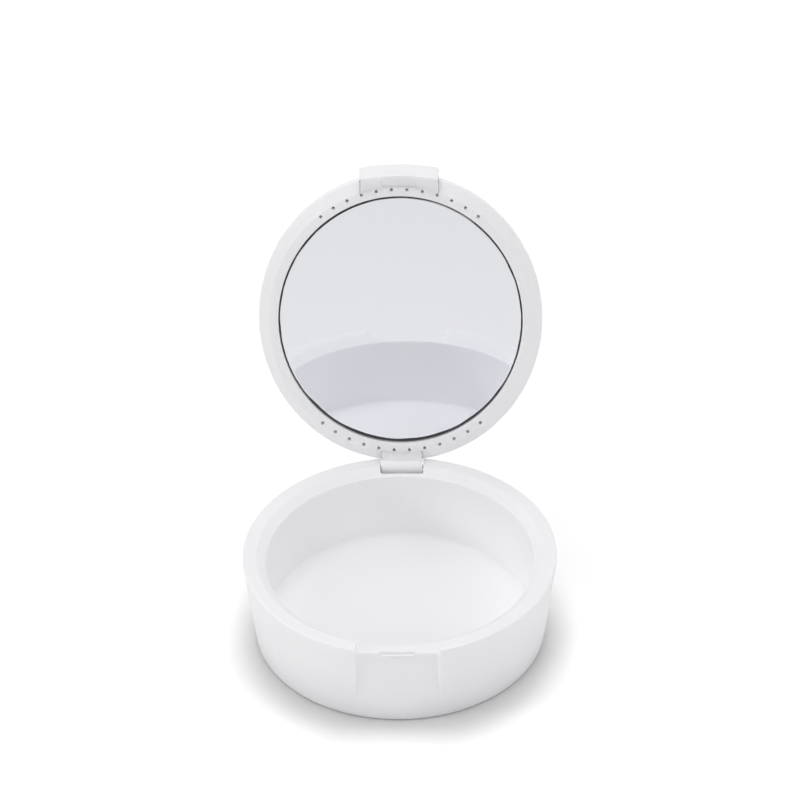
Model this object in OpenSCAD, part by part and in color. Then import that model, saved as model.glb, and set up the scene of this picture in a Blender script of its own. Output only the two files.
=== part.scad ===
// Orthodontic retainer case: a round tub with a mirrored lid that swings on a steel pin and snaps shut in front.
// Millimetres, +Z up. The origin is the centre of the underside, the latch faces -Y and the hinge is at +Y.
// Lid pieces are drawn shut, with heights counted from the rim plane, and are then swung open about the pin.

/* [Base tub] */
// Outer diameter at the rim
rim_d = 82; // [74:0.5:96]
// Height of the rim plane above the table
base_h = 20; // [16:0.5:30]
// How much smaller the underside's radius is than the rim's
wall_taper = 3.3; // [2.4:0.1:4]
// Width of the flat land on top of the rim
land_w = 3.6; // [3.2:0.1:4.2]
// Width of the sloping seat inside the land
seat_w = 2.4; // [2.2:0.1:3]
// Fall of the sloping seat
seat_drop = 1.6; // [1.4:0.1:1.8]
// Thickness of the floor
floor_t = 2.8; // [1.6:0.1:4]
// How much the inner wall leans in on its way down
cavity_draft = 0.15; // [0:0.05:0.6]
// Fillet between floor and inner wall
floor_round = 0.8; // [0.4:0.1:2]
// Fillet between underside and outer wall
foot_round = 1; // [0.5:0.1:2]
// Fillet on the rim's outer edge
rim_round = 0.4; // [0.2:0.05:0.6]

/* [Lid] */
// Gap between the shut lid and the base
lid_gap = 0.3; // [0.2:0.05:0.5]
// How far the lid's edge stays inside the base's edge
lid_inset = 3.3; // [2.9:0.1:3.4]
// Height of the lid's widest line above the rim plane
belt_h = 1.2; // [1:0.1:1.8]
// Thickness of the lid over the edge of the mirror
plate_t = 1.9; // [1.4:0.1:3]
// Rise of the lid's crown
crown = 0.8; // [0.3:0.1:2]
// How far the lid's flat ring stays inside the cavity's edge
ring_inset = 0.15; // [0.1:0.05:0.6]
// Depth of the flat ring below the rim plane
ring_drop = 0.9; // [0.7:0.05:1]
// Width of the flat ring round the mirror
ring_w = 2.4; // [2.2:0.05:3]
// Vent holes in each of the two rows
vent_n = 12; // [4:1:16]
// Angle between neighbouring vent holes
vent_pitch = 6.85; // [5:0.05:8]
// Diameter of a vent hole
vent_d = 0.9; // [0.6:0.1:1]
// Distance from the ring's outer edge to the vent holes' circle
vent_inset = 0.6; // [0.55:0.05:1.2]

/* [Mirror] */
// Gap round the mirror
mirror_gap = 0.2; // [0.1:0.05:0.6]
// Thickness of the mirror
mirror_t = 1.5; // [1:0.1:2.5]
// How far the mirror's face lies behind the ring's face
mirror_sink = 0.55; // [0.2:0.05:1]
// Ground edge of the mirror
mirror_edge = 0.3; // [0.1:0.05:0.5]
// Thickness of the mounting tape
tape_t = 0.25; // [0.15:0.05:0.6]
// Distance from the tape's edge to the mirror's edge
tape_inset = 3; // [1:0.5:8]

/* [Hinge] */
// Opening angle, where the lid meets its stop
open_angle = 94.3; // [91:0.1:97]
// Diameter of the hinge pin
pin_d = 1; // [0.8:0.1:1.2]
// Length of pin held in each ear
pin_bite = 3.15; // [2:0.05:3.6]
// Plastic left above the pin in the ears
pin_cover = 0.55; // [0.5:0.05:0.6]
// Plastic round the pin in the knuckle
knuckle_wall = 1.1; // [0.9:0.05:1.2]
// Distance from the pin's axis to the rim's outer edge
hinge_inset = 2.5; // [2.3:0.05:2.55]
// Width of the lid's hinge tab
tab_w = 10.8; // [8:0.2:13]
// Gap beside the hinge tab
tab_gap = 0.25; // [0.15:0.05:0.4]
// Room in front of the knuckle
notch_room = 0.9; // [0.4:0.05:1.4]
// Corner radius of the notch
notch_round = 0.8; // [0.3:0.1:1.5]
// Height of the tab's flat back above the pin's axis
stop_flat = 1.7; // [1.4:0.1:1.9]
// Gap left at the open stop
stop_gap = 0.05; // [0.03:0.01:0.1]
// Running clearance of the pin in the knuckle, on the radius
pin_run = 0.05; // [0.02:0.01:0.09]
// Clearance of the pin in the ears, on the radius
pin_seat = 0.01; // [0.01:0.01:0.03]

/* [Latch] */
// Width of the thumb recess at the outer wall
recess_w = 21.6; // [16:0.2:26]
// Depth of the thumb recess at the rim
recess_depth = 2.65; // [2.4:0.05:2.8]
// How much the recess narrows towards its face, on each side
recess_flare = 0.8; // [0.4:0.1:1]
// How far the recess face comes out of the wall at the underside
recess_runout = 0.4; // [0.2:0.05:0.8]
// How far the rim is lowered over the recess
rim_step = 1.5; // [1.4:0.05:2]
// Gap beside the tongue
tongue_gap = 0.3; // [0.2:0.05:0.6]
// How far the tongue's front stays inside the rim's edge
tongue_inset = 0.8; // [0.6:0.05:1]
// Radius of the tongue's bowed front
tongue_bow = 60; // [45:1:120]
// Corner radius of the tongue
tongue_round = 0.4; // [0.2:0.1:0.8]
// Height of the tongue's top above the rim plane
tongue_top = 0.85; // [0.6:0.05:1.2]
// How far the tongue hangs below the rim plane
tongue_drop = 5.3; // [4.4:0.1:6]
// Space between the recess face and the tongue's flap
latch_gap = 0.7; // [0.6:0.05:0.75]
// Width of the catch nib
nib_w = 8.3; // [5:0.1:12]
// Height of the catch nib
nib_h = 0.85; // [0.6:0.05:1]
// How far the nib stands out of the recess face
nib_proud = 0.45; // [0.3:0.05:0.5]
// Height of the notch in the rim's edge, above the nib
nib_below = 0.3; // [0.2:0.05:0.5]
// Depth of that notch
nib_notch = 0.4; // [0.2:0.05:0.6]
// How far that notch goes past each end of the nib
nib_spare = 0.6; // [0.3:0.1:1]
// Width of the hook bar on the tongue
hook_w = 6.6; // [5:0.1:12]
// How far the hook bar stands out of the flap
hook_proud = 0.45; // [0.3:0.05:0.45]
// Free travel between the nib and the hook bar
latch_play = 0.25; // [0.15:0.05:0.4]
// Width of the thinned panel in the tongue's root
panel_w = 9.4; // [6:0.2:14]
// Depth of that panel
panel_d = 0.15; // [0.1:0.05:0.3]

/* [Hidden] */
$fn = 96;
// Overlap that makes cuts and unions clean
eps = 0.01;
// Length that takes a cutter clear of everything
clear = 6;
arc_steps = 8;
crown_steps = 8;
face_steps = 128;

rim_r = rim_d / 2;
foot_r = rim_r - wall_taper;
land_r = rim_r - land_w;
cavity_r = land_r - seat_w;
floor_r = cavity_r - cavity_draft;
wall_angle = atan(wall_taper / base_h);

lid_r = rim_r - lid_inset;
ring_r = cavity_r - ring_inset;
pocket_r = ring_r - ring_w;
mirror_r = pocket_r - mirror_gap;
tape_r = mirror_r - tape_inset;
vent_r = ring_r - vent_inset;
ring_z = -ring_drop;
mirror_z = ring_z + mirror_sink;
tape_z = mirror_z + mirror_t;
pocket_z = tape_z + tape_t;
edge_z = pocket_z + plate_t;
lip_r = land_r + lid_gap / 3;
shoulder_r = pocket_r + (lid_r - pocket_r) * 0.4;

pin_r = pin_d / 2;
knuckle_r = pin_r + knuckle_wall;
hinge_y = rim_r - hinge_inset;
hinge_z = -pin_r - pin_cover;
tab_half = tab_w / 2;
notch_half = tab_half + tab_gap;
notch_y = hinge_y - knuckle_r - notch_room;
notch_z = hinge_z - knuckle_r * sin(open_angle) + stop_flat * cos(open_angle) - stop_gap;
pin_half = notch_half + pin_bite;

recess_half = recess_w / 2;
recess_y = rim_r - recess_depth;
recess_side = sqrt(rim_r * rim_r - recess_half * recess_half) - recess_y;
face_half = recess_half - recess_flare;
tongue_half = recess_half - tongue_gap;
tongue_y = rim_r - tongue_inset;
flap_y = recess_y + latch_gap;
nib_z = -rim_step - nib_below;
hook_z = nib_z - nib_h - latch_play;
hook_nose = (tongue_drop + hook_z) / 4;
// Where the tongue and the tab run into the lid's ring
root_y = pocket_r + (ring_r - pocket_r) * 0.35;

// Points on an elliptical arc, from angle a to angle b
function arc(centre, rx, ry, a, b) = [
    for (i = [0:arc_steps])
        let (t = a + (b - a) * i / arc_steps)
        centre + [rx * cos(t), ry * sin(t)]
];

// Half section of the tub
function base_section() = concat(
    [[0, 0]],
    arc([foot_r - foot_round, foot_round], foot_round, foot_round, -90, -wall_angle),
    arc([rim_r - rim_round, base_h - rim_round], rim_round, rim_round, -wall_angle, 90),
    [[land_r, base_h], [cavity_r, base_h - seat_drop]],
    arc([floor_r - floor_round, floor_t + floor_round], floor_round, floor_round, 0, -90),
    [[0, floor_t]]
);

// Half section of the lid, counted from the rim plane
function lid_section() = concat(
    [[0, pocket_z], [pocket_r, pocket_z], [pocket_r, ring_z], [ring_r, ring_z], [land_r, lid_gap]],
    arc([lip_r, belt_h], lid_r - lip_r, belt_h - lid_gap, -90, 0),
    arc([shoulder_r, belt_h], lid_r - shoulder_r, edge_z - belt_h, 0, 90),
    [for (i = [1:crown_steps])
        let (s = 1 - i / crown_steps)
        [shoulder_r * s, edge_z + crown * (1 - s * s)]]
);

// Plan of a slot or tongue that is open at the back and has two rounded front corners
function blunt_plan(half, front, back, radius, between = []) = concat(
    [[-half, back]],
    arc([radius - half, front + radius], radius, radius, 180, 270),
    between,
    arc([half - radius, front + radius], radius, radius, 270, 360),
    [[half, back]]
);

// How far the bowed front falls back at a distance from the middle
function bow_fall(x) = tongue_bow - sqrt(tongue_bow * tongue_bow - x * x);

// Points of the bowed front, between the tongue's rounded corners
function bow_points(half) = [
    for (i = [1:2 * arc_steps - 1])
        let (x = half * (i / arc_steps - 1))
        [x, bow_fall(x) - tongue_y]
];

// Carries what is drawn shut, from the rim plane, to the open lid
module swing_open() {
    translate([0, hinge_y, base_h + hinge_z])
        rotate([-open_angle, 0, 0])
            translate([0, -hinge_y, -hinge_z])
                children();
}

// Extrudes a section drawn in (y, z) along X, centred
module along_x(length) {
    rotate([90, 0, 90])
        translate([0, 0, -length / 2])
            linear_extrude(length)
                children();
}

// Solid behind the recess face: its front is straight at the rim and follows the round wall at the underside
module recess_core() {
    hull() {
        translate([-recess_half, -recess_y, base_h])
            cube([recess_w, rim_r, eps]);
        translate([0, 0, -eps])
            cylinder(r = foot_r + recess_runout, h = eps, $fn = face_steps);
    }
}

// The thumb recess leans with the wall, so that its flared sides keep their distance all the way down
module recess_cut() {
    spread = recess_flare / recess_side;
    difference() {
        translate([0, -recess_y, base_h])
            rotate([wall_angle, 0, 0])
                translate([0, 0, -base_h])
                    linear_extrude(base_h + clear)
                        polygon([
                            [spread * recess_depth - face_half, recess_depth],
                            [-recess_half - spread * clear, -recess_side - clear],
                            [recess_half + spread * clear, -recess_side - clear],
                            [face_half - spread * recess_depth, recess_depth]
                        ]);
        recess_core();
    }
}

// The rim is lowered over the recess, where the tongue's root lies when the lid is shut
module rim_step_cut() {
    translate([-recess_half, -rim_r - clear, base_h - rim_step])
        cube([recess_w, rim_r - cavity_r + clear + seat_w, rim_step + clear]);
}

// Notch for the knuckle, open at the back, whose floor stops the open lid, and in front of it a shallow rebate
// that leaves room under the shut lid's tab
module hinge_notch_cut() {
    rebate_z = ring_z - lid_gap;
    translate([0, 0, base_h + notch_z])
        linear_extrude(clear - notch_z)
            polygon(blunt_plan(notch_half, notch_y, rim_r + clear, notch_round));
    translate([0, 0, base_h + rebate_z])
        linear_extrude(clear - rebate_z)
            polygon(blunt_plan(notch_half, notch_y - notch_round, rim_r + clear, notch_round));
}

// The pin goes in from the right, and its hole is blind at the left
module pin_hole() {
    translate([-pin_half - tab_gap, hinge_y, base_h + hinge_z])
        rotate([0, 90, 0])
            cylinder(r = pin_r + pin_seat, h = pin_half + rim_r);
}

// Blunt bar near the top of the recess face
module catch_nib() {
    tip_y = -recess_y - nib_proud;
    translate([0, 0, base_h + nib_z])
        along_x(nib_w)
            polygon([
                [-recess_y + latch_gap, 0], [tip_y + nib_proud / 3, 0], [tip_y, -nib_h / 4],
                [tip_y, -nib_h * 0.6], [-recess_y, -nib_h], [-recess_y + latch_gap, -nib_h]
            ]);
}

// Notch in the edge of the lowered rim, which leaves the top of the nib free
module nib_notch_cut() {
    translate([-nib_w / 2 - nib_spare, -recess_y - clear, base_h + nib_z])
        cube([nib_w + 2 * nib_spare, clear + nib_notch, nib_below + clear]);
}

module base_shell() {
    color("#eceef1")
        difference() {
            union() {
                difference() {
                    rotate_extrude()
                        polygon(base_section());
                    recess_cut();
                    rim_step_cut();
                    nib_notch_cut();
                    hinge_notch_cut();
                }
                catch_nib();
            }
            pin_hole();
        }
}

// Front tongue: a root that fills the lowered rim and a flap that hangs in the recess, with a bowed front
module tongue() {
    bow_half = tongue_half - tongue_round;
    difference() {
        translate([0, 0, -tongue_drop])
            linear_extrude(tongue_top + tongue_drop)
                polygon(blunt_plan(
                    tongue_half, bow_fall(bow_half) - tongue_y, -root_y, tongue_round, bow_points(bow_half)
                ));
        translate([-recess_half, -flap_y, -tongue_drop - clear])
            cube([recess_w, rim_r, tongue_drop + clear + ring_z]);
        translate([-panel_w / 2, -flap_y, ring_z - clear])
            cube([panel_w, flap_y - ring_r, clear + panel_d]);
    }
}

// Bar inside the flap's tip that snaps under the catch nib
module hook_bar() {
    tip_y = -flap_y + hook_proud;
    along_x(hook_w)
        polygon([
            [-flap_y - eps, hook_z], [tip_y - hook_proud / 3, hook_z], [tip_y, hook_z - hook_nose],
            [tip_y, -tongue_drop + hook_nose], [-flap_y - eps, -tongue_drop]
        ]);
}

// Rear tab and knuckle, drawn with the pin's axis at the middle of the round end
module hinge_tab() {
    back_y = hinge_y + knuckle_r;
    along_x(tab_w)
        polygon(concat(
            [[root_y, ring_z], [hinge_y, ring_z], [hinge_y, hinge_z], [back_y, hinge_z]],
            arc([hinge_y, hinge_z + stop_flat], knuckle_r, belt_h, 0, 90),
            [[root_y, hinge_z + stop_flat + belt_h]]
        ));
    translate([-tab_half, hinge_y, hinge_z])
        rotate([0, 90, 0])
            cylinder(r = knuckle_r, h = tab_w);
}

module vent_holes() {
    for (side = [-90, 90])
        for (i = [0:vent_n - 1])
            rotate([0, 0, side + (i - (vent_n - 1) / 2) * vent_pitch])
                translate([vent_r, 0, ring_z - clear])
                    cylinder(d = vent_d, h = edge_z - ring_z + crown + 2 * clear);
}

module lid_shell() {
    color("#eceef1")
        swing_open()
            difference() {
                union() {
                    rotate_extrude()
                        polygon(lid_section());
                    tongue();
                    hook_bar();
                    hinge_tab();
                }
                vent_holes();
                translate([-tab_half - clear, hinge_y, hinge_z])
                    rotate([0, 90, 0])
                        cylinder(r = pin_r + pin_run, h = tab_w + 2 * clear);
            }
}

// Steel pin with both ends chamfered
module hinge_pin() {
    nose = pin_r / 3;
    color("#b9bcc0")
        translate([-pin_half, hinge_y, base_h + hinge_z])
            rotate([0, 90, 0])
                rotate_extrude()
                    polygon([
                        [0, 0], [pin_r - nose, 0], [pin_r, nose],
                        [pin_r, 2 * pin_half - nose], [pin_r - nose, 2 * pin_half], [0, 2 * pin_half]
                    ]);
}

// Round mirror with a ground edge on both faces
module mirror_disc() {
    color("#dfe3e6")
        swing_open()
            translate([0, 0, mirror_z])
                rotate_extrude()
                    polygon([
                        [0, 0], [mirror_r - mirror_edge, 0], [mirror_r, mirror_edge],
                        [mirror_r, mirror_t - mirror_edge], [mirror_r - mirror_edge, mirror_t], [0, mirror_t]
                    ]);
}

// Double-sided tape that holds the mirror in its pocket
module mirror_tape() {
    color("#d8d8d4")
        swing_open()
            translate([0, 0, tape_z])
                cylinder(r = tape_r, h = tape_t);
}

base_shell();
lid_shell();
hinge_pin();
mirror_disc();
mirror_tape();
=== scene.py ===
import math

import bpy
import numpy as np
from mathutils import Matrix, Vector


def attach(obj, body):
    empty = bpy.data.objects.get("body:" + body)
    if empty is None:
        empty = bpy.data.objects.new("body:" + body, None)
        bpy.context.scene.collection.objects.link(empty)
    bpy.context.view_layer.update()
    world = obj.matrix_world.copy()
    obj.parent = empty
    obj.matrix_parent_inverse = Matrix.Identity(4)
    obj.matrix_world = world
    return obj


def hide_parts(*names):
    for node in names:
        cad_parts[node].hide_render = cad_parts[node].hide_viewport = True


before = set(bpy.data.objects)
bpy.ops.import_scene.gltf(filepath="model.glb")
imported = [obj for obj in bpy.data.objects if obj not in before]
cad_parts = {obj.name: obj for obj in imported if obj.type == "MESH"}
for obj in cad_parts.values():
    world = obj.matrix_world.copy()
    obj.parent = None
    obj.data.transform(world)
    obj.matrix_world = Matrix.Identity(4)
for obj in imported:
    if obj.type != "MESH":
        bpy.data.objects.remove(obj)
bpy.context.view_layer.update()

# Sizes in millimetres, as the CAD source sets them or works them out. Heights of lid pieces count from
# the rim plane, and the lid is drawn shut.
MM = 0.001
RIM_R, BASE_H, FOOT_R, LAND_R, CAVITY_R, FLOOR_R = 41.0, 20.0, 37.7, 37.4, 35.0, 34.85
SEAT_DROP, FLOOR_T, FLOOR_ROUND, FOOT_ROUND, RIM_ROUND = 1.6, 2.8, 0.8, 1.0, 0.4
LID_R, LID_GAP, BELT_H, EDGE_Z, CROWN = 37.7, 0.3, 1.2, 3.3, 0.8
RING_R, RING_Z, POCKET_R, POCKET_Z = 34.85, -0.9, 32.45, 1.4
VENT_N, VENT_PITCH, VENT_D, VENT_R = 12, 6.85, 0.9, 34.25
MIRROR_R, MIRROR_Z, MIRROR_T, MIRROR_EDGE = 32.25, -0.35, 1.5, 0.3
OPEN_ANGLE, HINGE_Y, HINGE_Z, KNUCKLE_R, PIN_R, PIN_HALF = 94.3, 38.5, -1.05, 1.6, 0.5, 8.8
TAB_HALF, NOTCH_HALF, NOTCH_Y, NOTCH_ROUND = 5.4, 5.65, 36.0, 0.8
STOP_FLAT, NOTCH_Z, REBATE_Z = 1.7, -2.823, -1.2
RECESS_HALF, FACE_HALF, RECESS_Y, RECESS_RUNOUT, RIM_STEP = 10.8, 10.0, 38.35, 0.4, 1.5
TONGUE_HALF, TONGUE_Y, TONGUE_BOW, TONGUE_ROUND = 10.5, 40.2, 60.0, 0.4
TONGUE_TOP, TONGUE_DROP, FLAP_Y, PANEL_HALF, PANEL_D = 0.85, 5.3, 39.05, 4.7, 0.15
NIB_HALF, NIB_H, NIB_Z, NIB_PROUD, NIB_NOTCH, NIB_SPARE = 4.15, 0.85, -1.8, 0.45, 0.4, 0.6
HOOK_HALF, HOOK_PROUD, HOOK_Z, HOOK_NOSE = 3.3, 0.45, -2.9, 0.6
WALL_ANGLE = math.atan((RIM_R - FOOT_R) / BASE_H)

# Sizes of the scene alone. The recess face is scooped down to a share of the wall's height, and its edges
# are rounded over the crease.
SCOOP, SCOOP_END, CREASE = 0.42, 0.8, 0.12
# The tongue and the tab start inside the ring's edge, a little proud of it, so that no two faces share a
# plane
PROUD, ROOT_R = 0.012, RING_R - 0.07
# Half of the square cell that a vent takes out of the lid, and the play round the pin in the tub and the
# knuckle
VENT_CELL, EAR_PLAY, KNUCKLE_PLAY = 0.55, 0.01, 0.05
# Half widths at the latch and at the hinge within which the tub's columns keep a fixed x
FRONT_END, BACK_END = 14.0, 8.0

# Points on a rounded corner, on half of a rounded step and on each bend of the tongue
CORNER_N, STEP_N, BEND_N = 6, 5, 7
# Decimals to which two points agree when they are joined, and a length that counts as none
WELD_DECIMALS, NEAR_ZERO = 4, 1e-12


# Surfaces
def ease(n):
    """n angles from 0 to a quarter turn."""
    return np.linspace(0, math.pi / 2, n)


def unit(vectors):
    """Vectors at length one. A zero vector stays zero."""
    return vectors / np.maximum(np.linalg.norm(vectors, axis=-1, keepdims=True), NEAR_ZERO)


def joined(*stretches):
    """Joins stretches of places with the shares that go with them. A single value is spread over its
    stretch."""
    spread = (np.broadcast_arrays(*map(np.atleast_1d, stretch)) for stretch in stretches)
    return [np.concatenate(values) for values in zip(*spread)]


def round_step(at, radius, drop):
    """A wall that falls by drop at a place, from outside to inside, with a little draft and its top and
    foot rounded: places and shares of the drop along two quarter circles."""
    a, draft = ease(STEP_N), 0.02 * drop
    place = np.r_[at + draft + radius * (1 - np.sin(a)), at - draft - radius * (1 - np.cos(a))]
    share = np.r_[radius * (1 - np.cos(a)) / drop, 1 - radius * (1 - np.sin(a)) / drop]
    return place, share


def fillet(before, corner, after, radius, n=CORNER_N):
    """The circle arc that rounds a corner between two straight lines, from one touching point to the
    other."""
    before, corner, after = (np.array(p, float) for p in (before, corner, after))
    u, v = unit(before - corner), unit(after - corner)
    half = math.acos(np.clip(u @ v, -1, 1)) / 2
    centre = corner + unit(u + v) * radius / math.sin(half)
    start = corner + u * radius / math.tan(half) - centre
    end = corner + v * radius / math.tan(half) - centre
    turn = math.pi - 2 * half
    s = np.linspace(0, 1, n)[:, None]
    return centre + (np.sin((1 - s) * turn) * start + np.sin(s * turn) * end) / math.sin(turn)


def rounded(points, radii, n=CORNER_N):
    """An open line of straight stretches whose inner corners are rounded by the given radii."""
    line = [np.array(points[:1], float)]
    for i, radius in enumerate(radii, 1):
        line.append(fillet(*points[i - 1:i + 2], radius, n))
    return np.concatenate(line + [np.array(points[-1:], float)])


def tangent(p, axis, closed, even):
    """Direction along one axis of a grid of points: the chord between both neighbours, or, if even is
    set, the three-point slope that allows for uneven spacing on a curve."""
    p = np.moveaxis(p, axis, 0)
    before = np.roll(p, 1, 0) if closed else np.concatenate([p[:1], p[:-1]])
    after = np.roll(p, -1, 0) if closed else np.concatenate([p[1:], p[-1:]])
    a, b = p - before, after - p
    if even:
        g = np.linalg.norm(a, axis=2, keepdims=True) + NEAR_ZERO
        h = np.linalg.norm(b, axis=2, keepdims=True) + NEAR_ZERO
        inside = np.ones((len(p), 1, 1), bool)
        inside[[0, -1]] = closed
        a, b = np.where(inside, a * h / g, a), np.where(inside, b * g / h, b)
    return np.moveaxis(a + b, 0, axis)


def grid(p, closed_columns, closed_rows=False, keep=None):
    """A block of quads over points p[column, row]: the points, the quads and a normal for each corner,
    across both tangents. Doubled rows make a crisp edge. keep leaves out the cells where it is False."""
    columns, rows = p.shape[:2]
    normal = unit(np.cross(tangent(p, 0, closed_columns, True), tangent(p, 1, closed_rows, False)))
    last_column, last_row = columns - (not closed_columns), rows - (not closed_rows)
    c, r = np.meshgrid(np.arange(last_column), np.arange(last_row), indexing="ij")
    c, r = (c.ravel(), r.ravel()) if keep is None else (c[keep], r[keep])
    d, s = (c + 1) % columns, (r + 1) % rows
    quads = np.stack([c * rows + r, d * rows + r, d * rows + s, c * rows + s], 1)
    return p.reshape(-1, 3), quads, normal.reshape(-1, 3)[quads]


def flat(loops):
    """A block of flat faces, each with its own loop of points."""
    count, n = loops.shape[:2]
    normal = unit(np.cross(loops, np.roll(loops, -1, 1)).sum(1))
    return loops.reshape(-1, 3), np.arange(count * n).reshape(count, n), np.repeat(normal[:, None], n, 1)


def turned(line, angles):
    """A section line of (radius, height) turned about Z to each angle, as grid points."""
    a, r, z = angles[:, None], line[:, 0][None], line[:, 1][None]
    return np.stack([r * np.sin(a), -r * np.cos(a), z + 0 * a], 2)


def closed_turn(p, keep=None):
    """A grid that goes round an axis, with flat faces over its first and last rows."""
    return [grid(p, True, keep=keep), flat(p[::-1, 0][None]), flat(p[:, -1][None])]


# A hole takes a cell of four by four quads out of a grid. The cell's border has sixteen steps, each at a
# bearing from the middle of the cell.
CELL = 4
CELL_BORDER = np.array([(i, 0) for i in range(CELL)] + [(CELL, i) for i in range(CELL)]
                       + [(CELL - i, CELL) for i in range(CELL)] + [(0, CELL - i) for i in range(CELL)])
CELL_BEARING = np.arctan2(CELL_BORDER[:, 1] - CELL / 2, CELL_BORDER[:, 0] - CELL / 2)


def collar(border, mouth):
    """Quads between two closed loops of as many points, as loops of four points."""
    return np.stack([border, np.roll(border, -1, -2), np.roll(mouth, -1, -2), mouth], -2)


def bar(xs, loops, bore=None, parts=(slice(None),)):
    """Closed sections (y, z), one for each place in xs, joined along X. The ends are flat faces, one for
    each part of the section, or collars about a bore given as its own loop of as many points."""
    count, n = len(xs), loops.shape[1]
    place = np.broadcast_to(np.array(xs)[:, None, None], (count, n, 1))
    p = np.concatenate([place, np.broadcast_to(loops, (count, n, 2))], 2)
    if bore is None:
        ends = [loop for k in parts for loop in (p[0][k], p[-1][k][::-1])]
        return [grid(p, False, True)] + [flat(loop[None]) for loop in ends]
    hole = np.concatenate([place[[0, -1]], np.broadcast_to(bore, (2, n, 2))], 2)
    ends = [flat(collar(p[0], hole[0])), flat(collar(hole[1], p[-1]))]
    return [grid(p, False, True), grid(hole[::-1], False, True)] + ends


def drawn_in(loops, amount):
    """Closed sections moved inwards along their own normals by an amount each, which rounds the end of a
    bar."""
    edge = np.roll(loops, -1, 1) - loops
    normal = unit(np.stack([edge[..., 1], -edge[..., 0]], 2))
    normal = unit(normal + np.roll(normal, 1, 1))
    y, z = loops[..., 0], loops[..., 1]
    area = (y * np.roll(z, -1, 1) - np.roll(y, -1, 1) * z).sum(1)
    return loops - normal * (np.sign(area) * amount)[:, None, None]


def rounded_ends(half, radius, middle):
    """Places along a bar and how far its section is drawn in there: a quarter circle at each end."""
    a = ease(STEP_N)
    xs = np.r_[-half + radius * (1 - np.sin(a[::-1])), middle, half - radius * (1 - np.sin(a))]
    return xs, np.r_[radius * (1 - np.cos(a[::-1])), 0 * middle, radius * (1 - np.cos(a))]


def round_bar(line, half, radius, middle):
    """One closed section (y, z) carried along X, with rounded ends."""
    xs, inset = rounded_ends(half, radius, middle)
    return bar(xs, drawn_in(np.broadcast_to(line, (len(xs), *line.shape)), inset))


PIN_AXIS = np.array([0, HINGE_Y, HINGE_Z])
OPEN_COS, OPEN_SIN = math.cos(math.radians(OPEN_ANGLE)), math.sin(math.radians(OPEN_ANGLE))
LID_TURN = np.array([[1, 0, 0], [0, OPEN_COS, OPEN_SIN], [0, -OPEN_SIN, OPEN_COS]])


def opened(points):
    """Points of the shut lid turned about the pin to the open lid, counted from the underside."""
    return (points - PIN_AXIS) @ LID_TURN.T + PIN_AXIS + np.array([0, 0, BASE_H])


def swing_open(blocks):
    """Blocks of the shut lid, carried to the open lid."""
    return [(opened(p), f, n @ LID_TURN.T) for p, f, n in blocks]


def welded(blocks):
    """Joins the blocks of one closed shell where their points meet, drops corners that fall together and
    faces without area, and turns the shell outwards. Gives the points, and arrays of faces and of corner
    normals."""
    points = np.concatenate([p for p, _, _ in blocks])
    near = np.round(points, WELD_DECIMALS)
    _, first, same = np.unique(near, axis=0, return_index=True, return_inverse=True)
    points, same = points[first], same.ravel()
    start = np.cumsum([0] + [len(p) for p, _, _ in blocks])
    blocks = [(same[f + k], n) for (_, f, n), k in zip(blocks, start)]
    # The sign of the volume, from the determinants of each face's fan of triangles
    fans = (points[f] for f, _ in blocks)
    volume = sum(np.einsum("ij,ikj->", fan[:, 0], np.cross(fan[:, 1:-1], fan[:, 2:])) for fan in fans)
    way = 1 if volume > 0 else -1
    faces, normals = [], []
    for f, n in blocks:
        single = f != np.roll(f, 1, 1)
        f, n, single = f[:, ::way], way * n[:, ::way], single[:, ::way]
        count = single.sum(1)
        for corners in np.unique(count[count > 2]):
            rows = count == corners
            faces.append(f[rows][single[rows]].reshape(-1, corners))
            normals.append(n[rows][single[rows]])
    return points, faces, normals


def piece(name, body, shells, material, replaced):
    """Makes one object from closed shells in millimetres, with the normals of its curved surfaces."""
    points, faces, normals, start = [], [], [], 0
    for p, face_blocks, normal_blocks in map(welded, shells):
        points.append(p)
        normals += normal_blocks
        for block in face_blocks:
            faces += (block + start).tolist()
        start += len(p)
    mesh = bpy.data.meshes.new(name)
    mesh.from_pydata(np.concatenate(points) * MM, [], faces)
    mesh.materials.append(material)
    mesh.polygons.foreach_set("use_smooth", np.ones(len(mesh.polygons), bool))
    mesh.normals_split_custom_set(np.concatenate(normals))
    obj = bpy.data.objects.new(name, mesh)
    bpy.context.scene.collection.objects.link(obj)
    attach(obj, body)
    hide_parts(replaced)


# Base tub. Arcs of the foot and the rim, the leaning wall between them, and the sloping seat inside.
FOOT_ARC = np.array([FOOT_R - FOOT_ROUND, FOOT_ROUND])
RIM_ARC = np.array([RIM_R - RIM_ROUND, BASE_H - RIM_ROUND])
LEAN = np.array([math.cos(WALL_ANGLE), -math.sin(WALL_ANGLE)])
WALL_FOOT, WALL_TOP = FOOT_ARC + FOOT_ROUND * LEAN, RIM_ARC + RIM_ROUND * LEAN
INNER_FOOT = (FLOOR_R, FLOOR_T + FLOOR_ROUND)
SEAT_FOOT, SEAT_TOP = (CAVITY_R, BASE_H - SEAT_DROP), (LAND_R, BASE_H)
INNER_EDGE = fillet(INNER_FOOT, SEAT_FOOT, SEAT_TOP, radius=0.3)
CREST = fillet(SEAT_FOOT, SEAT_TOP, (RIM_R, BASE_H), radius=0.6)
# The row of the tub's top that bends to the notch's front wall, as a radius away from the hinge
NOTCH_ROW = NOTCH_Y + 0.2


def wall_radius(z):
    """Radius of the plain leaning wall at a height."""
    return WALL_FOOT[0] + (z - WALL_FOOT[1]) * (WALL_TOP[0] - WALL_FOOT[0]) / (WALL_TOP[1] - WALL_FOOT[1])


def soft_max(a, b, k):
    """The larger of two surfaces, with the crease between them rounded over about k."""
    return (a + b + np.sqrt((a - b) ** 2 + k * k)) / 2


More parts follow.
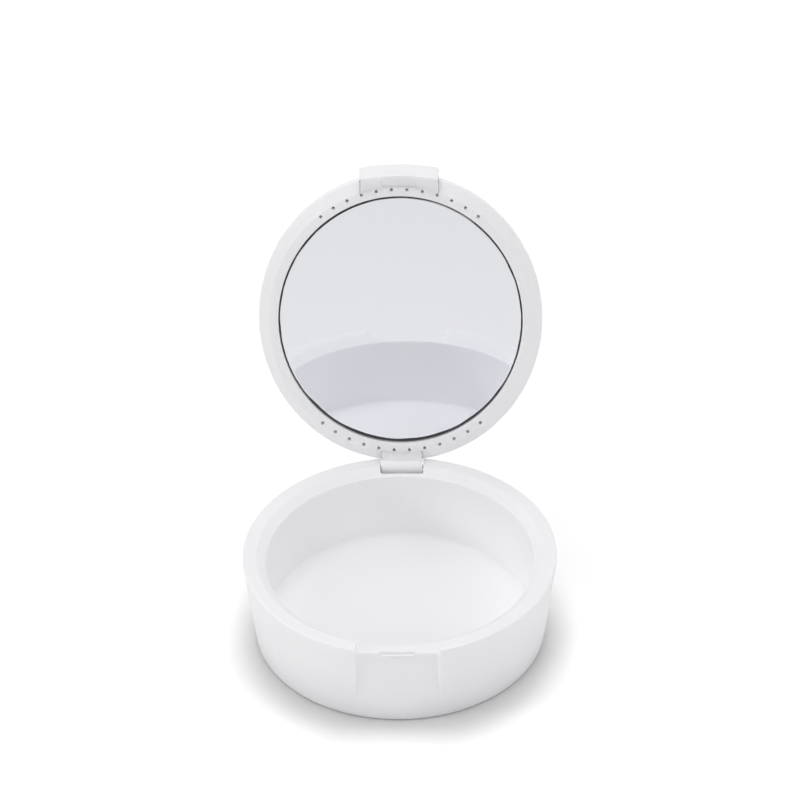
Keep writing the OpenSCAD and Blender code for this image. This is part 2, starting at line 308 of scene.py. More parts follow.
def front_distance(x, z):
    """How far the outer wall lies in front of the middle plane at a place x and a height z: the round
    wall, cut by the thumb recess. Its face blends from a straight line at the rim to the round wall at
    the underside, scooped by a squared sine on the way, and its flared sides lean with the wall."""
    x = np.abs(x)
    t = 1 - z / BASE_H
    reach = np.maximum(x - RECESS_HALF * (1 - t), 0)
    face = RECESS_Y * (1 - t) + np.sqrt(np.maximum(((FOOT_R + RECESS_RUNOUT) * t) ** 2 - reach ** 2, 0))
    face = face - SCOOP * np.sin(math.pi * np.clip(t / SCOOP_END, 0, 1)) ** 2
    depth = math.sqrt(RIM_R ** 2 - RECESS_HALF ** 2) - RECESS_Y
    flare = (x - FACE_HALF) * depth / (RECESS_HALF - FACE_HALF)
    side = RECESS_Y - (BASE_H - z) * math.tan(WALL_ANGLE) + flare
    wall = np.sqrt(wall_radius(z) ** 2 - x ** 2)
    return -soft_max(-wall, -soft_max(face, side, CREASE), CREASE)


def pin_hole(p):
    """Where the pin is driven in. The cell round the grid point nearest to the pin's axis, in the right
    rear wall, is left out of the grid. A collar leads from its border to the mouth, where the hole's
    circle along X meets the leaning wall, and a tube goes on to just past the pin's end. Gives the cells
    to keep and the new blocks."""
    axis_z, hole_r, bottom = BASE_H + HINGE_Z, PIN_R + EAR_PLAY, PIN_HALF - 0.3
    away = np.where(p[..., 0] > PIN_HALF, np.hypot(p[..., 1] - HINGE_Y, p[..., 2] - axis_z), np.inf)
    column, row = (i - CELL // 2 for i in np.unravel_index(away.argmin(), away.shape))
    keep = np.ones((len(p), p.shape[1] - 1), bool)
    keep[column:column + CELL, row:row + CELL] = False
    border = p[column + CELL_BORDER[:, 0], row + CELL_BORDER[:, 1]]
    y, z = HINGE_Y + hole_r * np.cos(CELL_BEARING), axis_z - hole_r * np.sin(CELL_BEARING)
    mouth = np.stack([np.sqrt(wall_radius(z) ** 2 - y ** 2), y, z], 1)
    end = np.stack([np.full_like(y, bottom), y, z], 1)
    points, quads, _ = flat(collar(border, mouth))
    # The leaning wall's own normals, inwards as the grid's are until the shell is turned
    around = unit(points[:, :2])
    normal = -np.concatenate([around * LEAN[0], np.full((len(points), 1), LEAN[1])], 1)
    return keep, [(points, quads, normal[quads]), grid(np.stack([mouth, end], 1), True), flat(end[None])]


def tub_columns():
    """Columns of one half of the tub, from the middle of the front to the middle of the back. Gives the x
    of each, the share by which it has turned from the front's columns to the back's, and its shares of
    three drops in the rim: at the nib, over the recess and at the hinge notch."""
    nib_x, nib_f = round_step(NIB_HALF + NIB_SPARE, radius=0.06, drop=-NIB_Z - RIM_STEP)
    step_x, step_f = round_step(RECESS_HALF, radius=0.22, drop=RIM_STEP)
    notch_x, notch_f = round_step(NOTCH_HALF, radius=0.15, drop=-NOTCH_Z)
    corner_x = NOTCH_HALF - NOTCH_ROUND + NOTCH_ROUND * np.sin(np.linspace(0, 0.72, 7))
    side = np.linspace(0, 1, 88)[1:-1]
    # Stretches of columns: x, turned share, and shares of the drops at the nib, the recess and the notch.
    # Plain columns stand closer where the wall bends.
    return joined(
        (np.linspace(0, 4.6, 8), 0, 1, 1, 0),
        (nib_x[::-1], 0, nib_f[::-1], 1, 0),
        (np.r_[4.9, np.linspace(5.2, 9.4, 6), np.linspace(9.55, 10.5, 12)], 0, 0, 1, 0),
        (step_x[::-1], 0, 0, step_f[::-1], 0),
        ((11.15, 11.4, 11.8, 12.4, 13.2, FRONT_END), 0, 0, 0, 0),
        (FRONT_END, side, 0, 0, 0),
        ((BACK_END, 7.2, 6.5, 6.0), 1, 0, 0, 0),
        (notch_x, 1, 0, 0, notch_f),
        (np.r_[corner_x[::-1], np.linspace(4.2, 0, 6)], 1, 0, 0, 1))


def notch_front(x, share):
    """Where the notch's front wall, straight with round corners, crosses the seat, as a radius for each
    column. Away from the hinge it eases back to a plain row."""
    x_in = np.clip(x, 0, NOTCH_HALF)
    past = np.clip(x_in - NOTCH_HALF + NOTCH_ROUND, 0, NOTCH_ROUND)
    radius = np.hypot(NOTCH_Y + NOTCH_ROUND - np.sqrt(NOTCH_ROUND ** 2 - past ** 2), x_in)
    fade = np.clip((BACK_END - x) / (BACK_END - NOTCH_HALF), 0, 1) * (share == 1)
    return NOTCH_ROW + (radius - NOTCH_ROW) * fade


def tub_top(edge, notch_wall, f_nib, f_step, f_notch):
    """Rows of the tub's top from the cavity's edge to the rim's fillet, as radius and height for each
    column. The rows are stretched between the notch's front wall and the wall's own edge, laid on the
    seat and the land, and then lowered by the drops: over the recess, behind the nib and, in two levels,
    at the notch."""
    wall_d, wall_h = round_step(0, radius=0.15, drop=-NOTCH_Z - 0.6)
    slot_d, slot_g = round_step(0, radius=0.1, drop=0.3)
    slot_share = (RECESS_Y - NIB_NOTCH - CAVITY_R) / (RECESS_Y - CAVITY_R)
    slot_r = CAVITY_R + slot_share * (WALL_TOP[0] - CAVITY_R)
    # Stretches of rows: radius, and shares of the drops at the notch's floor and behind the nib
    row_r, row_h, row_g = joined(
        (35.5, 0, 0),
        (NOTCH_ROW - wall_d, wall_h, 0),
        (np.r_[36.7, 37.0, CREST[:, 0], 38.2, 39.0, 39.7], 1, 0),
        (slot_r - slot_d, 1, slot_g),
        (40.5, 1, 1))
    inside = CAVITY_R + (row_r - CAVITY_R) * (notch_wall - CAVITY_R) / (NOTCH_ROW - CAVITY_R)
    outside = RIM_R - (RIM_R - row_r) * (RIM_R - notch_wall) / (RIM_R - NOTCH_ROW)
    r = np.where(row_r < NOTCH_ROW, inside, outside)
    r = CAVITY_R + (r - CAVITY_R) * (edge - CAVITY_R) / (WALL_TOP[0] - CAVITY_R)
    profile = np.concatenate([INNER_EDGE, CREST, [[RIM_R, BASE_H]]])
    z = np.interp(r, profile[:, 0], profile[:, 1])
    z = z - f_step * np.maximum(z - BASE_H + RIM_STEP, 0)
    z = z - f_nib * row_g * np.maximum(z - BASE_H - NIB_Z, 0)
    z = z - f_notch * np.maximum(z - BASE_H - REBATE_Z, 0)
    z = z - f_notch * row_h * np.maximum(z - BASE_H - NOTCH_Z, 0)
    return np.stack([r, z], 2)


def base_tub():
    """The tub's section carried round the circle. Each column has its own section: the rim steps down
    over the recess and at the hinge notch, and the outer wall follows front_distance. Columns keep a
    fixed x near the latch and the hinge, so that the steps there are flat walls, and turn by angle in
    between."""
    x, share, f_nib, f_step, f_notch = (v[:, None] for v in tub_columns())
    is_front = share == 0
    drop = f_step * RIM_STEP - f_nib * (NIB_Z + RIM_STEP) - f_notch * NOTCH_Z
    top_z = WALL_TOP[1] - drop
    edge = np.where(is_front, np.hypot(front_distance(x, top_z), x), wall_radius(top_z))
    top = tub_top(edge, notch_front(x, share), f_nib, f_step, f_notch)
    # The rim's fillet, then the outer wall down to the foot
    a = np.linspace(math.pi / 2, -WALL_ANGLE, 9)
    arc_r, arc_z = RIM_ARC[0] + RIM_ROUND * np.cos(a), RIM_ARC[1] + RIM_ROUND * np.sin(a)
    rim_r = CAVITY_R + (arc_r - CAVITY_R) * (edge - CAVITY_R) / (WALL_TOP[0] - CAVITY_R)
    rim = np.stack([rim_r, arc_z - drop], 2)
    z = top_z + (WALL_FOOT[1] - top_z) * np.linspace(0, 1, 30)[None, 1:]
    wall = np.stack([np.where(is_front, np.hypot(front_distance(x, z), x), wall_radius(z)), z], 2)
    # Plain rows: floor and inner wall before, foot and underside after
    a = ease(6)
    floor_arc = np.stack([np.sin(a) - 1, 1 - np.cos(a)], 1) * FLOOR_ROUND + np.array([FLOOR_R, FLOOR_T])
    floor = np.r_[[(r, FLOOR_T) for r in (8, 16, 24, 30, 33)], floor_arc,
                  np.linspace(INNER_FOOT, INNER_EDGE[0], 6)[1:-1], INNER_EDGE]
    a = np.linspace(-WALL_ANGLE, -math.pi / 2, 7)[1:]
    foot_arc = FOOT_ARC + FOOT_ROUND * np.stack([np.cos(a), np.sin(a)], 1)
    foot = np.r_[foot_arc, [(r, 0) for r in (30, 20, 10)]]
    floor, foot = (np.broadcast_to(line, (len(x), *line.shape)) for line in (floor, foot))
    section = np.concatenate([floor, top, rim, wall, foot], 1)
    r, z = section[..., 0], section[..., 1]
    far_r = np.maximum(r, CAVITY_R)
    ahead = np.arcsin(np.minimum(x, FRONT_END) / far_r)
    behind = math.pi - np.arcsin(np.where(share == 1, x, BACK_END) / far_r)
    angle = np.where(is_front, ahead, (1 - share) * np.arcsin(FRONT_END / far_r) + share * behind)
    half = np.stack([r * np.sin(angle), -r * np.cos(angle), z], 2)
    p = np.concatenate([half, half[-2:0:-1] * np.array([-1, 1, 1])])
    keep, hole = pin_hole(p)
    return closed_turn(p, keep) + hole


def catch_nib():
    """Blunt bar across the top of the recess face, a rounded section carried along X with rounded ends."""
    root, face, tip = -RECESS_Y + 0.5, -RECESS_Y, -RECESS_Y - NIB_PROUD
    top = BASE_H + NIB_Z
    low, lead_in = top - NIB_H, top - 0.62 * NIB_H
    corners = [(root, top), (tip, top - 0.05), (tip, lead_in), (face, low), (root, low)]
    line = rounded(corners, (0.2, 0.2, 0.1))
    return round_bar(line, NIB_HALF, radius=0.15, middle=np.linspace(-3.8, 3.8, 9))


# Lid
def lid_plate():
    """The lid's section turned about Z: pocket, flat ring, sloping flange, round lip, shoulder and crown.
    The shoulder is a quarter ellipse and the crown a parabola. Each vent takes a cell out of the ring and
    out of the shoulder; two collars lead from there to the hole's edges, and a tube joins them."""
    shoulder = POCKET_R + (LID_R - POCKET_R) * 0.4
    lip = LAND_R + LID_GAP / 3
    cell = np.linspace(VENT_R - VENT_CELL, VENT_R + VENT_CELL, CELL + 1)
    pocket = rounded([(30, POCKET_Z), (POCKET_R, POCKET_Z), (POCKET_R, RING_Z), (33, RING_Z)], (0.3, 0.2))
    flange = rounded([(VENT_R, RING_Z), (RING_R, RING_Z), (LAND_R, LID_GAP), (lip, LID_GAP)], (0.05, 0.1))
    face = np.concatenate([[(20, POCKET_Z)], pocket, [(r, RING_Z) for r in cell], flange[1:-1]])
    a = ease(7)
    edge = np.stack([lip + (LID_R - lip) * np.sin(a), BELT_H - (BELT_H - LID_GAP) * np.cos(a)], 1)
    turn_in = shoulder + (LID_R - shoulder) * np.cos(ease(13)[1:-2])
    out = np.r_[turn_in, 34.95, cell[::-1], np.linspace(33, 3, 16)]
    ellipse = np.sqrt(np.maximum(1 - ((out - shoulder) / (LID_R - shoulder)) ** 2, 0))
    parabola = EDGE_Z + CROWN * (1 - (out / shoulder) ** 2)
    rise = np.where(out > shoulder, BELT_H + (EDGE_Z - BELT_H) * ellipse, parabola)
    line = np.concatenate([face, edge, np.stack([out, rise], 1)])
    # Columns: five for each vent, and even ones between
    vent = np.radians((np.arange(VENT_N) - (VENT_N - 1) / 2) * VENT_PITCH)
    wide = np.arcsin(VENT_CELL / VENT_R)
    gap = np.linspace(wide, np.radians(VENT_PITCH) - wide, 5)[1:-1]
    each = np.r_[np.linspace(-wide, wide, CELL + 1), gap]
    row = (vent[:, None] + each).ravel()[:-len(gap)]
    side = np.linspace(row[-1], math.pi + row[0], 60)[1:-1]
    p = turned(line, np.r_[row, side, row + math.pi, side + math.pi])
    keep = np.ones((len(p), len(line) - 1), bool)
    first = np.arange(VENT_N) * len(each)
    first = np.r_[first, first + len(row) + len(side)]
    # The hole's edges at the bearings of the cell's border, on the ring and, the other way round, on the
    # shoulder
    centre = np.r_[vent, vent + math.pi]
    c, s = np.cos(centre)[:, None], np.sin(centre)[:, None]
    along = VENT_D / 2 * np.cos(CELL_BEARING)
    blocks, mouths = [], []
    for start, outward in ((1 + len(pocket), 1), (len(face) + len(edge) + len(turn_in) + 1, -1)):
        keep[first[:, None, None] + np.arange(CELL)[:, None], start + np.arange(CELL)] = False
        border = p[first[:, None] + CELL_BORDER[:, 0], start + CELL_BORDER[:, 1]]
        r = VENT_R + outward * VENT_D / 2 * np.sin(CELL_BEARING)
        z = np.full_like(r, RING_Z) if outward == 1 else np.interp(r, out[::-1], rise[::-1])
        mouth = np.stack([r * s + along * c, -r * c + along * s, np.broadcast_to(z, border.shape[:2])], 2)
        mouths.append(mouth)
        blocks.append(flat(collar(border, mouth).reshape(-1, 4, 3)))
    steps = len(CELL_BORDER)
    inner, outer = mouths[0], mouths[1][:, (3 * CELL - np.arange(steps)) % steps]
    tubes = [grid(np.stack([a, b], 1), True) for a, b in zip(inner, outer)]
    return closed_turn(p, keep) + blocks + tubes


def tongue():
    """Front tongue: a root that lies in the lowered rim and a flap that hangs in front of it. Its section
    is carried along X, with the front bowed to a circle, the corners rounded and a thinned panel in the
    middle of the root."""
    panel_x, panel_f = round_step(PANEL_HALF, radius=0.05, drop=PANEL_D)
    corner = TONGUE_HALF - TONGUE_ROUND + TONGUE_ROUND * np.sin(ease(7))
    half, share = joined((np.linspace(0, 4.5, 6), 1), (panel_x[::-1], panel_f[::-1]),
                         (np.r_[np.linspace(5.2, 10, 9), corner], 0))
    xs, share = np.r_[-half[:0:-1], half], np.r_[share[:0:-1], share][:, None]
    across = np.abs(xs)
    straight = np.minimum(across, TONGUE_HALF - TONGUE_ROUND)
    past = np.clip(across - straight, 0, TONGUE_ROUND)
    bow = TONGUE_BOW - np.sqrt(TONGUE_BOW ** 2 - straight ** 2)
    back_off = bow + TONGUE_ROUND - np.sqrt(np.maximum(TONGUE_ROUND ** 2 - past ** 2, 0))
    # One section: along the root's underside, down the flap's inside, round its tip, up the front and
    # back over the top
    flap = rounded([(-RING_R - 0.3, RING_Z), (-FLAP_Y, RING_Z), (-FLAP_Y, -TONGUE_DROP),
                    (-TONGUE_Y, -TONGUE_DROP), (-TONGUE_Y, TONGUE_TOP), (-TONGUE_Y + 1, TONGUE_TOP)],
                   (0.3, 0.1, 0.15, 0.3), BEND_N)
    index = np.arange(len(flap))
    y = flap[:, 0] + np.where(index > 2 * BEND_N, back_off[:, None], 0)
    z = flap[:, 1] + np.where(index <= BEND_N, share * PANEL_D, 0)
    # The first point leads halfway down to the lip, which stands proud of the ring
    z[:, 0] -= PROUD / 2
    root = -np.sqrt(ROOT_R ** 2 - across ** 2)
    start = np.stack([root, np.full_like(root, RING_Z - PROUD)], 1)[:, None]
    panel_y, panel_g = round_step(-RING_R - 0.1, radius=0.05, drop=PANEL_D)
    lip_z = RING_Z - PROUD + share * panel_g * PANEL_D
    lip = np.stack([np.broadcast_to(panel_y, lip_z.shape), lip_z], 2)
    back = np.stack([root - 0.4, np.full_like(root, TONGUE_TOP)], 1)[:, None]
    loops = np.concatenate([start, start, lip, np.stack([y, z], 2), back], 1)
    # The last bit of each end is drawn in as a quarter ellipse
    ends, inset = 0.2, 0.12
    a = np.clip((across - (TONGUE_HALF - ends)) / ends, 0, 1)
    loops = drawn_in(loops, inset * (1 - np.sqrt(1 - a * a)))
    # Its end faces are the root's and the flap's, which meet between the first bend and the last one
    bend = 2 + lip.shape[1] + BEND_N
    brow = bend + 2 * BEND_N + 1
    return bar(xs, loops, parts=(np.r_[0:bend + 1, brow:loops.shape[1]], np.arange(bend, brow + 1)))


def hook_bar():
    """Bar inside the flap's tip that snaps under the catch nib, a rounded section carried along X."""
    root, tip = -FLAP_Y - 0.3, -FLAP_Y + HOOK_PROUD
    line = rounded([(root, HOOK_Z), (tip, HOOK_Z - HOOK_NOSE / 2), (tip, -TONGUE_DROP + HOOK_NOSE),
                    (root, -TONGUE_DROP + 0.1)], (0.25, 0.25))
    return round_bar(line, HOOK_HALF, radius=0.15, middle=np.linspace(-3, 3, 7))


def hinge_tab():
    """Rear tab that ends in the knuckle, bored for the pin. Its section goes along the underside, round the
    knuckle's circle, up the flat that meets the stop and over a quarter ellipse to the top."""
    low, flat_top, axis = RING_Z - PROUD, HINGE_Z + STOP_FLAT, np.array([HINGE_Y, HINGE_Z])
    a = np.linspace(math.pi - math.asin((low - HINGE_Z) / KNUCKLE_R), 2 * math.pi, 28)
    knuckle = axis + KNUCKLE_R * np.stack([np.cos(a), np.sin(a)], 1)
    a = ease(9)
    back = np.stack([HINGE_Y + KNUCKLE_R * np.cos(a), flat_top + BELT_H * np.sin(a)], 1)
    # Points partway along the flat underside and the flat top
    under_y, over_y = 36.0, 36.2
    line = np.concatenate([[[under_y, low]] * 2, knuckle, back, [[over_y, flat_top + BELT_H]]])
    # The root follows the ring's edge, and its first row is doubled for a crisp edge
    xs, inset = rounded_ends(TAB_HALF, radius=0.12, middle=np.linspace(-5, 5, 11))
    root = np.sqrt(ROOT_R ** 2 - xs ** 2)
    start = np.stack([root, np.full_like(root, low)], 1)[:, None]
    end = np.stack([root + 0.4, np.full_like(root, flat_top + BELT_H)], 1)[:, None]
    line = np.broadcast_to(line, (len(xs), *line.shape))
    loops = drawn_in(np.concatenate([start, start, line, end], 1), inset)
    toward = unit(loops[0] - axis)
    return bar(xs, loops, axis + (PIN_R + KNUCKLE_PLAY) * toward)


# Mirror
def mirror():
    """Silvered disc turned about Z, with a narrow bevel and a ground edge. Doubled rows keep the edges
    crisp."""
    z, t = MIRROR_Z, MIRROR_Z + MIRROR_T
    corners = [(MIRROR_R - 0.55, z), (MIRROR_R - 0.35, z + 0.05), (MIRROR_R - 0.1, z + 0.12),
               (MIRROR_R, z + MIRROR_EDGE), (MIRROR_R, t - MIRROR_EDGE), (MIRROR_R - MIRROR_EDGE, t)]
    line = np.array([(20, z)] + [corner for corner in corners for _ in (0, 1)] + [(20, t)])
    return closed_turn(turned(line, np.linspace(0, 2 * math.pi, 288, endpoint=False)))


MIRROR_CENTRE = opened(np.array([0, 0, MIRROR_Z])) * MM


# Materials
def linear(text):
    """Linear colour of an sRGB hex code."""
    c = np.array([int(text[i:i + 2], 16) for i in (1, 3, 5)]) / 255
    return (*np.where(c <= 0.04045, c / 12.92, ((c + 0.055) / 1.055) ** 2.4), 1.0)


def pattern_scale(size):
    """The scale at which a texture's pattern has the given size in millimetres."""
    return 1 / (size * MM)


def add(tree, kind, values=None, links=None, **settings):
    """Adds a node with its settings, input values and links. Inputs go by name or by number: 1 to 4 of a
    Map Range are the limits it maps from and to, and 2 and 3 of a Mix, or 6 and 7 for colours, are its
    two ends."""
    node = tree.nodes.new(kind)
    for k, v in settings.items():
        setattr(node, k, v)
    for k, v in (values or {}).items():
        node.inputs[k].default_value = v
    for k, s in (links or {}).items():
        tree.links.new(s, node.inputs[k])
    return node


def surface(name, shader):
    """A material whose surface shader is made by the given function of its node tree."""
    material = bpy.data.materials.new(name)
    material.use_nodes = True
    tree = material.node_tree
    tree.nodes.clear()
    add(tree, "ShaderNodeOutputMaterial", links={"Surface": shader(tree).outputs[0]})
    return material


def moulded_polypropylene(tree):
    """White polypropylene, injection-moulded in a spark-eroded mould. The eye sees a milky white that
    lets light a little way in, so that edges look soft, under a satin sheen with a fine even grain."""
    where = add(tree, "ShaderNodeTexCoord").outputs["Object"]
    # The eroded grain is about 0.05 mm, too fine to show, so it is drawn at 0.4 mm. The melt's flow
    # leaves faint clouds of about 17 mm.
    grain = add(tree, "ShaderNodeTexNoise", {"Scale": pattern_scale(0.4), "Detail": 2.0}, {"Vector": where})
    flow = add(tree, "ShaderNodeTexNoise", {"Scale": pattern_scale(50 / 3), "Detail": 2.0},
               {"Vector": where})
    tone = add(tree, "ShaderNodeMix", {6: linear("#f8f8fa"), 7: linear("#fafafb")},
               {0: flow.outputs["Fac"]}, data_type="RGBA")
    rough = add(tree, "ShaderNodeMapRange", {3: 0.42, 4: 0.5}, {0: grain.outputs["Fac"]})
    bump = add(tree, "ShaderNodeBump", {"Strength": 0.06, "Distance": 0.05 * MM},
               {"Height": grain.outputs["Fac"]})
    milky = {"IOR": 1.49, "Subsurface Weight": 0.25, "Subsurface Radius": (1.0, 1.0, 1.0),
             "Subsurface Scale": 1.2 * MM}
    return add(tree, "ShaderNodeBsdfPrincipled", milky,
               {"Base Color": tone.outputs[2], "Roughness": rough.outputs[0], "Normal": bump.outputs[0]})


def silvered_glass(tree):
    """Float glass, silvered and painted behind, with a ground edge. The eye sees a clear, slightly cool
    mirror. The silver ends a little inside the edge, more so at the foot and at the upper left, and a dark
    band shows there as a thin uneven line. The band is partly the dark painted backing and partly painted
    shade of the gap between the mirror and its pocket, and that shade is what makes it wider at the foot
    and at the upper left."""
    where = add(tree, "ShaderNodeTexCoord").outputs["Object"]
    # Traces of wiping, about 11 mm wide
    haze = add(tree, "ShaderNodeTexNoise", {"Scale": pattern_scale(100 / 9), "Detail": 3.0},
               {"Vector": where})
    rough = add(tree, "ShaderNodeMapRange", {3: 0.01, 4: 0.03}, {0: haze.outputs["Fac"]})
    coat = add(tree, "ShaderNodeBsdfPrincipled", {"Base Color": linear("#f5f6fa"), "Metallic": 1.0},
               {"Roughness": rough.outputs[0]})
    # The dark backing, which also serves as painted shade of the gap round the mirror
    backing_paint_and_gap_shade = add(tree, "ShaderNodeBsdfPrincipled", {"Base Color": linear("#333437"), "Roughness": 0.45})
    # The radius at which the silver ends: at the foot, elsewhere, how much sooner at the upper left, and
    #     # by how much it wanders to either side, in waves of about 7 mm. Ending sooner at the foot and at
    #     the
    #     # upper left widens the dark band there as painted shade of the gap round the mirror.
    foot_end, other_end, sooner, wander = 31.45 * MM, 31.95 * MM, 0.25 * MM, 0.3 * MM
    z = MIRROR_CENTRE[2]
    height = add(tree, "ShaderNodeSeparateXYZ", None, {0: where}).outputs["Z"]
    end = add(tree, "ShaderNodeMapRange", {1: z - 32 * MM, 2: z - 16 * MM, 3: foot_end, 4: other_end},
              {0: height})
    upper_left = np.array([-0.5, 0, 0.866])
    middle = upper_left @ MIRROR_CENTRE
    reach = add(tree, "ShaderNodeVectorMath", {1: upper_left}, {0: where}, operation="DOT_PRODUCT")
    less = add(tree, "ShaderNodeMapRange", {1: middle + 24 * MM, 2: middle + 31 * MM, 4: -sooner},
               {0: reach.outputs["Value"]})
    end = add(tree, "ShaderNodeMath", None, {0: end.outputs[0], 1: less.outputs[0]})
    waves = add(tree, "ShaderNodeTexNoise", {"Scale": pattern_scale(20 / 3), "Detail": 4.0},
                {"Vector": where})
    shift = add(tree, "ShaderNodeMapRange", {3: -wander, 4: wander}, {0: waves.outputs["Fac"]})
    end = add(tree, "ShaderNodeMath", None, {0: end.outputs[0], 1: shift.outputs[0]})
    radius = add(tree, "ShaderNodeVectorMath", {1: MIRROR_CENTRE}, {0: where}, operation="DISTANCE")
    past = add(tree, "ShaderNodeMath", None, {0: radius.outputs["Value"], 1: end.outputs[0]},
               operation="SUBTRACT")
    # Dark where the silver has ended: the dark backing there, and painted shade of the gap round the mirror
    dark_edge_and_gap_shade = add(tree, "ShaderNodeMapRange", {1: -0.03 * MM, 2: 0.03 * MM}, {0: past.outputs[0]})
    return add(tree, "ShaderNodeMixShader", None,
               {0: dark_edge_and_gap_shade.outputs[0], 1: coat.outputs[0], 2: backing_paint_and_gap_shade.outputs[0]})


def drawn_steel(tree):
    """Stainless steel wire, drawn through a die. The eye sees a bright grey metal with fine lines along
    its length."""
    where = add(tree, "ShaderNodeTexCoord").outputs["Object"]
    along = add(tree, "ShaderNodeMapping", {"Scale": (0.05, 1.0, 1.0)}, {"Vector": where})
    # The die's lines are about 0.01 mm wide, too fine to show, so they are drawn at 0.05 mm
    lines = add(tree, "ShaderNodeTexNoise", {"Scale": pattern_scale(0.05), "Detail": 2.0},
                {"Vector": along.outputs[0]})
    rough = add(tree, "ShaderNodeMapRange", {3: 0.22, 4: 0.36}, {0: lines.outputs["Fac"]})
    return add(tree, "ShaderNodeBsdfPrincipled", {"Base Color": linear("#c3c5c8"), "Metallic": 1.0},
               {"Roughness": rough.outputs[0]})


def foam_tape(tree):
    """Polyethylene foam tape with closed cells. The eye sees a dull off-white with small shallow pits."""
    where = add(tree, "ShaderNodeTexCoord").outputs["Object"]
    # The cells are about 0.1 mm wide, too fine to show, so they are drawn at 0.25 mm
    cells = add(tree, "ShaderNodeTexVoronoi", {"Scale": pattern_scale(0.25)}, {"Vector": where})
    pits = cells.outputs["Distance"]
    # The tone is darker towards the bottom of each pit: painted shade in the pits
    tone = add(tree, "ShaderNodeMix", {6: linear("#d2d2ce"), 7: linear("#dededa")},
               {0: pits}, data_type="RGBA")
    bump = add(tree, "ShaderNodeBump", {"Strength": 0.2, "Distance": 0.05 * MM}, {"Height": pits})
    return add(tree, "ShaderNodeBsdfPrincipled", {"Roughness": 0.85},
               {"Base Color": tone.outputs[2], "Normal": bump.outputs[0]})


plastic = surface("moulded white polypropylene", moulded_polypropylene)
silver = surface("silvered mirror glass", silvered_glass)
steel = surface("drawn steel wire", drawn_steel)
foam = surface("foam tape", foam_tape)

# The object. The pin and the tape keep their CAD solids.
lid_shells = map(swing_open, (lid_plate(), tongue(), hook_bar(), hinge_tab()))
piece("base_tub", "base", [base_tub(), catch_nib()], plastic, "base_shell")
piece("lid_plate", "lid", lid_shells, plastic, "lid_shell")
piece("lid_mirror", "lid", [swing_open(mirror())], silver, "mirror_disc")
for name, material in (("hinge_pin", steel), ("mirror_tape", foam)):
    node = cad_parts[name]
    node.data.materials.clear()
    node.data.materials.append(material)


# Stage
def by_ray(tree, lighting, mirrored, seen):
    """One level for the rays that light the object, one for what it mirrors and one for what the camera
    sees."""
    ray = add(tree, "ShaderNodeLightPath").outputs
    level = add(tree, "ShaderNodeMix", {2: lighting, 3: mirrored}, {0: ray["Is Glossy Ray"]})
    return add(tree, "ShaderNodeMix", {3: seen}, {0: ray["Is Camera Ray"], 2: level.outputs[0]}).outputs[0]


def white_floor(tree):
    """Matt white floor that keeps the shadow. Where it is seen, its lit part comes out white."""
    level = by_ray(tree, lighting=0.68, mirrored=0.62, seen=0.77)
    return add(tree, "ShaderNodeBsdfDiffuse", None, {"Color": level})


def white_stage(half, below):
    """A square floor, a hair below the object's foot so that the two don't share a plane."""
    mesh = bpy.data.meshes.new("floor")
    corners = ((-half, -half), (half, -half), (half, half), (-half, half))
    mesh.from_pydata([(x, y, -below) for x, y in corners], [], [(0, 1, 2, 3)])
    mesh.materials.append(surface("white floor", white_floor))
    obj = bpy.data.objects.new("floor", mesh)
    bpy.context.scene.collection.objects.link(obj)
    return obj


def studio_glow(at_right, above):
    """A world without lamps of its own. Its glow grows evenly from nothing at the left to one level at
    the right, and blends to another level overhead."""
    world = bpy.data.worlds.new("studio")
    bpy.context.scene.world = world
    world.use_nodes = True
    tree = world.node_tree
    tree.nodes.clear()
    toward = add(tree, "ShaderNodeTexCoord").outputs["Generated"]
    way = add(tree, "ShaderNodeSeparateXYZ", None, {0: toward}).outputs
    side = add(tree, "ShaderNodeMapRange", {1: -1.0, 2: 1.0, 3: 0.0, 4: at_right}, {0: way["X"]})
    glow = add(tree, "ShaderNodeMix", {3: above}, {0: way["Z"], 2: side.outputs[0]})
    sky = add(tree, "ShaderNodeBackground", {"Color": linear("#fefdff")}, {"Strength": glow.outputs[0]})
    add(tree, "ShaderNodeOutputWorld", None, {"Surface": sky.outputs[0]})


def soft_light(name, place, aim_z, size, power):
    """A square area lamp that faces a point on the Z axis."""
    lamp = bpy.data.lights.new(name, "AREA")
    lamp.size, lamp.energy = size, power
    obj = bpy.data.objects.new(name, lamp)
    obj.location = place
    obj.rotation_euler = (Vector((0, 0, aim_z)) - Vector(place)).to_track_quat("-Z", "Y").to_euler()
    obj.visible_camera = False
    bpy.context.scene.collection.objects.link(obj)
    return obj


floor = white_stage(half=3.0, below=0.01 * MM)
studio_glow(at_right=0.76, above=0.56)
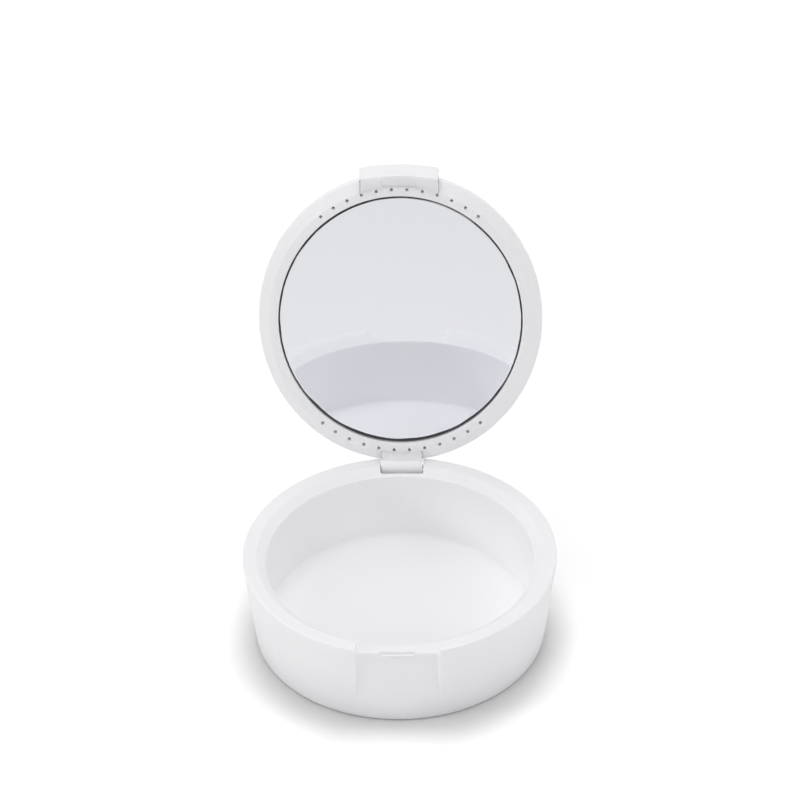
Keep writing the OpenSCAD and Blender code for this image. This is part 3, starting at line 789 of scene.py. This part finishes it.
# Lamps, with places and sizes in metres and powers in watts
soft_light("overhead", (-0.03, 0.05, 0.85), aim_z=0.03, size=0.55, power=2.15)
soft_light("front_left", (-0.9, -1.2, 0.7), aim_z=0.04, size=0.4, power=2.85)
soft_light("left", (-1.52, -0.38, 0.5), aim_z=0.04, size=0.25, power=4.3)
soft_light("right", (1.4, -0.4, 0.8), aim_z=0.04, size=0.8, power=2.25)
soft_light("left_back", (-0.9, 0.5, 0.9), aim_z=0.04, size=0.5, power=1.25)
# A lamp for the floor alone, which deepens the shadow round the foot
only_floor = bpy.data.collections.new("floor_only")
only_floor.objects.link(floor)
floor_top = soft_light("floor_top", (0, 0.27, 1.0), aim_z=0.0, size=0.52, power=5.4)
floor_top.light_linking.receiver_collection = only_floor

# A far camera at the photo's angle, in degrees and metres. The photo is taller than the object's true
# proportions, as when the film is tilted to the view.
ELEVATION, AZIMUTH, ROLL, TILT = 32.173, 1.257, -0.757, -28.893
DISTANCE, TARGET, FOCAL_PX, PICTURE_PX = 2.5, Vector((0.000531, 0, 0.06148)), 9596.2, 800


def photo_camera():
    """A camera that hangs under a shear about its own eye, which leans its picture plane by the tilt."""
    el, az, roll, tilt = (math.radians(v) for v in (ELEVATION, AZIMUTH, ROLL, TILT))
    back = Vector((math.sin(az) * math.cos(el), -math.cos(az) * math.cos(el), math.sin(el)))
    right = (-back).cross(Vector((0, 0, 1))).normalized()
    up = right.cross(-back)
    right, up = right * math.cos(roll) + up * math.sin(roll), up * math.cos(roll) - right * math.sin(roll)
    axes = Matrix((right, up, back)).transposed()
    lean = Matrix.Identity(3)
    lean[2][1] = -math.tan(tilt)
    shear = (axes @ lean @ axes.transposed()).to_4x4()
    eye = TARGET + back * DISTANCE
    data = bpy.data.cameras.new("photo")
    data.lens = FOCAL_PX / PICTURE_PX * data.sensor_width
    data.clip_start, data.clip_end = 0.1, 20
    camera = bpy.data.objects.new("photo", data)
    holder = bpy.data.objects.new("camera_holder", None)
    bpy.context.scene.collection.objects.link(camera)
    bpy.context.scene.collection.objects.link(holder)
    camera.matrix_basis = Matrix.Translation(eye) @ axes.to_4x4()
    camera.parent = holder
    camera.matrix_parent_inverse = Matrix.Translation(eye) @ shear @ Matrix.Translation(-eye)
    bpy.context.scene.camera = camera


photo_camera()
bpy.context.scene.view_settings.view_transform = "Standard"
